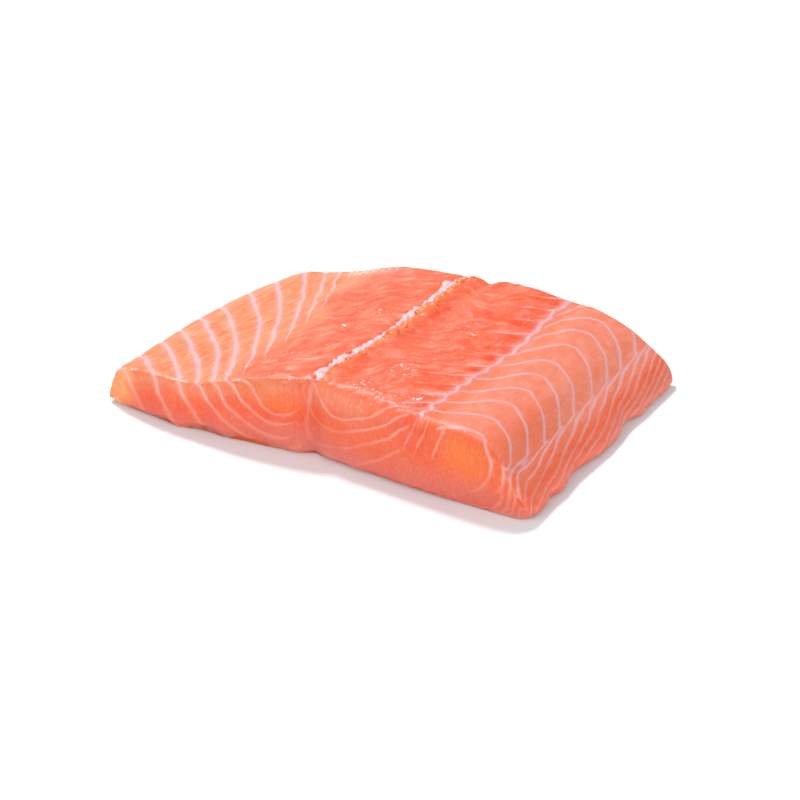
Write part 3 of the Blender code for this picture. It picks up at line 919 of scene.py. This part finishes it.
# painted glints first, then specks of fat and the underside's own colour
glintSpeckAndUnderCoats = [
    ("paintedGlint", ("glintSpots", 0.63, 0.71), "paintedGlint"),
    # painted highlight, broken, along the cut edges
    ("paintedGlint", "lip", ("tiny", 0.42, 0.62), 0.75),
    ("spineFat", ("rareSpecks", 0.72, 0.78), "middle", 0.6),
    ("under", "onFoot", 0.8),
]
bumps = {"fibres": 0.5, "threads": 0.35, "micro": 0.6, "tiny": 0.5, "smears": 2, "lines": -0.25}
haloStrength = 0.22
lineStrengths = {"stripe": 0.78, "loinLine": 0.66, "fineLine": (0.62, 0.34), "septum": 0.85, "groove": 0.36}
fleshLook = {"Subsurface Weight": 0.3, "Subsurface Radius": (1, 0.4, 0.25), "Subsurface Scale": 0.0015,
             "Specular IOR Level": 0.3, "Coat Weight": 0.05, "Coat Roughness": 0.2}
strandLook = {**fleshLook, "Subsurface Radius": (1, 0.6, 0.5), "Specular IOR Level": 0.4,
              "Coat Weight": 0.06, "Coat Roughness": 0.15}


class Wiring:                          # short hands for building a tree of nodes
    def __init__(self, tree):
        self.tree = tree

    def put(self, socket, value):
        if isinstance(value, bpy.types.NodeSocket):
            self.tree.links.new(value, socket)
        else:
            socket.default_value = value

    def node(self, kind, inputs=(), **settings):
        made = self.tree.nodes.new(kind)
        for name, value in settings.items():
            setattr(made, name, value)
        for name, value in dict(inputs).items():
            self.put(made.inputs[name], value)
        return made

    def math(self, operation, *values, clamp=False):
        inputs = dict(enumerate(values))
        return self.node("ShaderNodeMath", inputs, operation=operation, use_clamp=clamp).outputs[0]

    def chain(self, operation, values):
        return reduce(lambda first, second: self.math(operation, first, second), values)

    def times(self, *values):
        return self.chain("MULTIPLY", values)

    def plus(self, *values):
        return self.chain("ADD", values)

    def minus(self, *values):
        return self.chain("SUBTRACT", values)

    def largest(self, *values):
        return self.chain("MAXIMUM", values)


class Finish(Wiring):                  # a material, its nodes and the colour laid so far
    def __init__(self, name):
        self.material = bpy.data.materials.new(name)
        self.material.use_nodes = True
        super().__init__(self.material.node_tree)
        self.shader = self.tree.nodes["Principled BSDF"]
        self.colour = "middle"

    def mix(self, share, low, high):   # a colour is a socket or the name of one of the flesh's
        made = self.node("ShaderNodeMix", data_type="RGBA", clamp_factor=True)
        for index, value in ((0, share), (6, low), (7, high)):
            self.put(made.inputs[index], fleshColours.get(value, value))
        return made.outputs[2]

    def paint(self, skin, coats):      # lays coats over the colour that is there
        known = vars(skin)
        for colour, *shares in coats:
            amounts = [self.ramp(known[share[0]], *share[1:]) if isinstance(share, tuple)
                       else known.get(share, share) for share in shares]
            self.colour = self.mix(self.times(*amounts), self.colour, skin.mixes.get(colour, colour))
        return self.colour

    def ramp(self, value, fromLow, fromHigh, toLow=0, toHigh=1):
        made = self.node("ShaderNodeMapRange", interpolation_type="SMOOTHSTEP")
        for index, entry in enumerate((value, fromLow, fromHigh, toLow, toHigh)):
            self.put(made.inputs[index], entry)
        return made.outputs[0]

    def parts(self, attribute):
        source = self.node("ShaderNodeAttribute", attribute_name=attribute)
        return self.node("ShaderNodeSeparateXYZ", {0: source.outputs["Vector"]}).outputs

    def place(self):
        return self.node("ShaderNodeTexCoord").outputs["Object"]

    def noise(self, size, detail):     # size in millimetres
        return self.node("ShaderNodeTexNoise", {
            "Vector": self.place(), "Scale": 1000 / size, "Detail": detail, "Roughness": 0.5}).outputs[0]

    def stretched(self, parts, across, along, seed, detail):
        place = self.node("ShaderNodeCombineXYZ", {
            0: self.math("DIVIDE", parts[0], across), 1: self.math("DIVIDE", parts[1], along), 2: seed})
        return self.node("ShaderNodeTexNoise", {
            "Vector": place.outputs[0], "Scale": 1, "Detail": detail, "Roughness": 0.55}).outputs[0]

    def wear(self, roughness, height, distance, strength, look, bumped=("Normal",)):
        bump = self.node("ShaderNodeBump", {"Height": height, "Distance": distance, "Strength": strength})
        normals = {name: bump.outputs[0] for name in bumped}
        for name, value in {"Base Color": self.colour, "Roughness": roughness, **normals, **look}.items():
            self.put(self.shader.inputs[name], value)
        return self.material


def fatLine(finish, attribute, soft, unevenness, breaks):
    order, gap, half = finish.parts(attribute)
    distance = finish.plus(finish.times(finish.math("PINGPONG", order, 0.5), gap),
                           finish.times(finish.minus(unevenness, 0.5), 0.8))
    line = finish.ramp(distance, finish.plus(half, soft), finish.times(half, 0.45))
    halo = finish.ramp(distance, finish.times(half, 3.4), half)
    present = finish.math("MULTIPLY", half, 4, clamp=True)
    return finish.times(line, present, breaks), finish.times(halo, present)


def fatLines(finish, skin):            # every line of fat on the skin, and the pale halo round them
    small, tiny, times, plus = skin.small, skin.tiny, finish.times, finish.plus
    breaks = finish.ramp(skin.gaps, 0.25, 0.5, 0.55, 1)
    serrated = plus(times(small, 0.6), times(tiny, 0.5))
    stripes, stripeHalo = fatLine(finish, "stripe", 0.4, serrated, finish.ramp(tiny, 0.2, 0.6, 0.75, 1))
    loinLines, loinHalo = fatLine(finish, "loinLine", 0.35, small, breaks)
    fineLines, fineHalo = fatLine(finish, "fineLine", 0.35, small, breaks)
    ragged = times(finish.minus(small, 0.5), 2.6)
    fromSeptum = finish.math("ABSOLUTE", plus(skin.fromSeptum, ragged))
    septumHalf = finish.ramp(tiny, 0.3, 0.7, 0.8, 1.35)
    septumLine = times(finish.ramp(fromSeptum, septumHalf, 0.2), skin.onTop, breaks)
    septumHalo = times(finish.ramp(fromSeptum, 4, 0.8), skin.onTop)
    fromGroove = finish.math("ABSOLUTE", plus(skin.fromGroove, times(ragged, 0.5)))
    grooveLine = times(finish.ramp(fromGroove, 1.1, 0.2), skin.facing)
    fineStrength = finish.ramp(skin.facing, 0, 1, *lineStrengths["fineLine"])
    lines = finish.largest(
        times(stripes, lineStrengths["stripe"]), times(loinLines, lineStrengths["loinLine"]),
        times(fineLines, fineStrength), times(septumLine, lineStrengths["septum"]),
        times(grooveLine, lineStrengths["groove"]))
    return lines, finish.largest(stripeHalo, loinHalo, fineHalo, septumHalo)


def fleshFinish():
    finish = Finish("rawSalmon")
    times, plus, minus, ramp, mix = finish.times, finish.plus, finish.minus, finish.ramp, finish.mix
    skin = SimpleNamespace(mixes={}, **{part: socket for name, parts in skinRecords.items()
                                        for part, socket in zip(parts, finish.parts(name))})
    parts = vars(skin)
    parts.update({name: finish.noise(*sizes) for name, sizes in spots.items()})
    slanted = finish.math("MULTIPLY_ADD", skin.alongGrain, hatchLean, skin.acrossGrain)
    ways = {"grain": (skin.acrossGrain, skin.alongGrain), "hatch": (slanted, skin.alongGrain),
            "streak": (skin.acrossStreaks, skin.alongStreaks),
            "scratch": (skin.acrossScratches, skin.alongScratches)}
    parts.update({name: finish.stretched(ways[way], *sizes) for name, (way, *sizes) in grains.items()})
    skin.xPlace = finish.node("ShaderNodeSeparateXYZ", {0: finish.place()}).outputs[0]
    branch = finish.math("FRACT", finish.parts("fineLine")[0])
    skin.fromBranch = plus(branch, times(skin.small, 0.3))
    skin.besideSpine = finish.math("ABSOLUTE", minus(skin.fromSpine, 3.2))
    skin.fineness = finish.largest(ramp(skin.middle, 0, 1, 0.10, 0.20), times(skin.facing, 0.28))
    lowFat = finish.largest(times(skin.facing, ramp(skin.depth, 0.08, 0.45)), times(skin.side, 0.7))
    fat = mix(lowFat, mix(skin.facing, "fat", "fatCut"), "fatLow")
    skin.mixes = {
        "red": finish.paint(skin, redCoats),
        "peachMix": mix(ramp(skin.small, 0.3, 0.7), "peach", "peachPale"),
        "pinkMix": mix(ramp(skin.small, 0.35, 0.7), "pink", "pinkPale"),
        "fatMix": fat,
        "lineMix": mix(skin.hatch, fat, "stripe"),
    }
    finish.colour = "middle"
    skin.lines, skin.halo = fatLines(finish, skin)
    lineCoats = [("fatMix", "halo", haloStrength), ("lineMix", "lines")]
    finish.paint(skin, fleshCoats + lineCoats + glintSpeckAndUnderCoats)
    roughness = minus(ramp(skin.small, 0.2, 0.8, 0.42, 0.56), times(skin.wet, 0.08), times(skin.middle, 0.06))
    skin.smears = times(skin.smears, skin.middle)
    height = plus(*(times(parts[name], share) for name, share in bumps.items()))
    return finish.wear(roughness, height, 0.0003, 0.6, fleshLook, ("Normal", "Coat Normal"))


spineFat = {                   # the lumpy strand of fat left where the backbone was
    "beside": 0,               # mm to the right of the spine's line
    "lift": 0,
    "spacing": 0.45,           # mm from bead to bead
    "radii": (0.40, 0.72),     # smallest and largest bead
    "scatter": 0.5,            # how far beads stray from the line
    "flatten": 0.6,
    "voxel": 0.28,
    "seed": 7,
    "girthY": [-48.5, -46, -42, -38, -30, -26, -22, -18, -12, -6,
               2, 8, 15, 20, 25, 30, 37, 42, 49],
    "girth": [1.6, 2.8, 3.3, 1.4, 3.2, 1.6, 3.4, 2.6, 1.5, 1.3,
              1.5, 2.4, 3, 1.8, 3.1, 1.8, 3.3, 2, 1.2],
    "colours": ("spineFat", "spineFatRosy"),
}
spineRoe = {                   # small wet lumps of flesh along the strand's right side
    "beside": 2.8,
    "lift": -0.42,
    "spacing": 1.1,
    "radii": (0.65, 1.35),
    "scatter": 0.9,
    "flatten": 0.7,
    "voxel": 0.28,
    "seed": 3,
    "girthY": [-46, -36, -28, -20, -8, 4, 16, 28, 40, 47],
    "girth": [0.6, 1, 1.3, 1, 1.5, 1.2, 1.6, 1.2, 1.5, 0.9],
    "colours": ("roe", "roeDeep"),
}


def strandFinish(name, colours):
    finish = Finish(name)
    small = finish.noise(2.5, 3)
    finish.colour = finish.mix(finish.ramp(small, 0.35, 0.65), *colours)
    roughness = finish.ramp(small, 0.3, 0.7, 0.38, 0.5)
    return finish.wear(roughness, finish.noise(0.8, 2), 0.0002, 0.3, strandLook)


def strandTree(name, material):        # beads strung along a curve and fused into one lumpy strand
    tree = bpy.data.node_groups.new(name, "GeometryNodeTree")
    wiring = Wiring(tree)
    sockets = {"Path": "Geometry", "Spacing": "Float", "Smallest bead": "Float", "Largest bead": "Float",
               "Scatter": "Float", "Flatten": "Float", "Voxel": "Float", "Seed": "Int"}
    for label, kind in sockets.items():
        tree.interface.new_socket(label, in_out="INPUT", socket_type="NodeSocket" + kind)
    tree.interface.new_socket("Strand", in_out="OUTPUT", socket_type="NodeSocketGeometry")
    given = wiring.node("NodeGroupInput").outputs

    def random(kind, first, lowest, highest):
        made = wiring.node("FunctionNodeRandomValue", data_type=kind)
        for socket, value in ((first, lowest), (first + 1, highest), ("Seed", given["Seed"])):
            wiring.put(made.inputs[socket], value)
        return made.outputs

    def step(kind, source, inputs=(), **settings):
        return wiring.node("GeometryNode" + kind, {0: source, **dict(inputs)}, **settings).outputs[0]

    path = step("ResampleCurve", given["Path"], {"Length": given["Spacing"]}, mode="LENGTH")
    girth = wiring.node("GeometryNodeInputRadius").outputs[0]
    furthest = [wiring.times(given["Scatter"], way) for way in (-1, 1)]
    corners = [wiring.node("ShaderNodeCombineXYZ", {0: reach, 1: reach}).outputs[0] for reach in furthest]
    stray = random("FLOAT_VECTOR", 0, *corners)[0]
    offset = wiring.node("ShaderNodeVectorMath", {0: stray, "Scale": girth}, operation="SCALE").outputs[0]
    moved = step("SetPosition", path, {"Offset": offset})
    radius = wiring.times(random("FLOAT", 2, given["Smallest bead"], given["Largest bead"])[1], girth)
    flattened = wiring.times(radius, given["Flatten"])
    scale = wiring.node("ShaderNodeCombineXYZ", {0: radius, 1: radius, 2: flattened}).outputs[0]
    bead = wiring.node("GeometryNodeMeshIcoSphere", {"Radius": 1, "Subdivisions": 2}).outputs[0]
    beads = step("InstanceOnPoints", moved, {"Instance": bead, "Scale": scale})
    loose = step("RealizeInstances", beads)
    voxels = {"Voxel Size": given["Voxel"]}
    volume = step("MeshToVolume", loose, {**voxels, "Interior Band Width": mm}, resolution_mode="VOXEL_SIZE")
    fused = step("VolumeToMesh", volume, {**voxels, "Threshold": 0.1}, resolution_mode="VOXEL_SIZE")
    whole = step("RealizeInstances", step("SetShadeSmooth", fused))
    wiring.put(wiring.node("NodeGroupOutput").inputs[0], step("SetMaterial", whole, {"Material": material}))
    return tree


def runTree(name, path, tree, values):         # evaluates a tree on a path and keeps the plain mesh
    holder = bpy.data.objects.new(name + "Path", path)
    bpy.context.scene.collection.objects.link(holder)
    modifier = holder.modifiers.new("nodes", "NODES")
    modifier.node_group = tree
    for item in tree.interface.items_tree:
        if item.in_out == "INPUT" and item.name in values:
            modifier[item.identifier] = values[item.name]
    evaluated = holder.evaluated_get(bpy.context.evaluated_depsgraph_get())
    mesh = bpy.data.meshes.new_from_object(evaluated)
    mesh.name = name
    bpy.data.objects.remove(holder)
    piece = bpy.data.objects.new(name, mesh)
    bpy.context.scene.collection.objects.link(piece)
    return piece


def surfaceUnder(fillet):              # gives the height of the skin at a place
    lookup = BVHTree.FromObject(fillet, bpy.context.evaluated_depsgraph_get())

    def heightAt(x, y):
        hit = lookup.ray_cast(Vector((x, y, 0.2)), Vector((0, 0, -1)))[0]
        return hit.z if hit else 0
    return heightAt


def buildStrand(name, beads, fit, heightAt):
    y = np.linspace(beads["girthY"][0], beads["girthY"][-1], 120)
    x = smoothCurve(y, spine["y"], spine["x"]) + beads["beside"]
    girth = smoothCurve(y, beads["girthY"], beads["girth"])
    places = fit(np.stack([x, y, np.zeros(len(y))], axis=-1))
    path = bpy.data.curves.new(name + "Path", "CURVE")
    path.dimensions = "3D"
    spline = path.splines.new("POLY")
    spline.points.add(len(y) - 1)
    for point, place, size in zip(spline.points, places, girth):
        point.co = (place[0], place[1], heightAt(place[0], place[1]) + beads["lift"] * mm, 1)
        point.radius = size
    smallest, largest = beads["radii"]
    lengths = {"Spacing": beads["spacing"], "Smallest bead": smallest, "Largest bead": largest,
               "Scatter": beads["scatter"], "Voxel": beads["voxel"]}
    values = {**{label: length * mm for label, length in lengths.items()},
              "Flatten": beads["flatten"], "Seed": beads["seed"]}
    return runTree(name, path, strandTree(name + " beads", strandFinish(name, beads["colours"])), values)


# Camera, floor and light
studio = {
    "target": (4.97, -1.76, 0),      # millimetres
    "distance": 1150,
    "azimuth": 30,                   # degrees
    "elevation": 30,
    "lens": 145.4,
    "sensor": 36,
    "room": 0.48,
    "floor": srgb(243, 251, 255),
    "floorDrop": 0.0002,       # metres below the fillet's foot
    # each lamp's place in metres, its width and its power
    "lamps": {
        "keyLight": ((-0.45, 0.25, 0.85), 0.22, 10),
        "sideFill": ((0.95, -0.35, 0.28), 0.6, 4.2),
        "frontFill": ((-0.25, -0.9, 0.4), 0.8, 3.9),
    },
}


def addCamera():
    azimuth, elevation = (math.radians(studio[key]) for key in ("azimuth", "elevation"))
    back = Vector((math.sin(azimuth) * math.cos(elevation), -math.cos(azimuth) * math.cos(elevation),
                   math.sin(elevation)))
    camera = bpy.data.objects.new("camera", bpy.data.cameras.new("camera"))
    camera.data.lens = studio["lens"]
    camera.data.sensor_width = studio["sensor"]
    camera.data.clip_start = 0.05
    camera.location = (Vector(studio["target"]) + back * studio["distance"]) * mm
    camera.rotation_euler = back.to_track_quat("Z", "Y").to_euler()
    bpy.context.scene.collection.objects.link(camera)
    bpy.context.scene.camera = camera


def addLight(name, place, size, power):
    lamp = bpy.data.lights.new(name, "AREA")
    lamp.shape = "DISK"
    lamp.size = size
    lamp.energy = power
    holder = bpy.data.objects.new(name, lamp)
    holder.location = place
    holder.rotation_euler = Vector(place).to_track_quat("Z", "Y").to_euler()
    bpy.context.scene.collection.objects.link(holder)


def addStudio():
    floorMesh = bpy.data.meshes.new("floor")
    floorMesh.from_pydata([(-3, -3, 0), (3, -3, 0), (3, 3, 0), (-3, 3, 0)], [], [(0, 1, 2, 3)])
    floor = bpy.data.objects.new("floor", floorMesh)
    floor.location.z = -studio["floorDrop"]
    bpy.context.scene.collection.objects.link(floor)
    finish = Finish("paleFloor")
    for name, value in {"Base Color": studio["floor"], "Roughness": 0.8}.items():
        finish.shader.inputs[name].default_value = value
    floorMesh.materials.append(finish.material)
    world = bpy.data.worlds.new("softRoom")
    world.use_nodes = True
    for name, value in {"Color": (1, 1, 1, 1), "Strength": studio["room"]}.items():
        world.node_tree.nodes["Background"].inputs[name].default_value = value
    bpy.context.scene.world = world
    for name, lamp in studio["lamps"].items():
        addLight(name, *lamp)
    bpy.context.scene.view_settings.view_transform = "Standard"


addCamera()
addStudio()
print("camera and light ready")
fillet, fit = buildFillet()
fillet.data.materials.append(fleshFinish())
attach(fillet, "root")
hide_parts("fillet")
print("flesh ready:", len(fillet.data.polygons), "faces")
heightAt = surfaceUnder(fillet)
for name, beads in (("spineFat", spineFat), ("spineRoe", spineRoe)):
    strand = buildStrand(name, beads, fit, heightAt)
    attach(strand, "root")
    print(name, "ready:", len(strand.data.polygons), "faces")
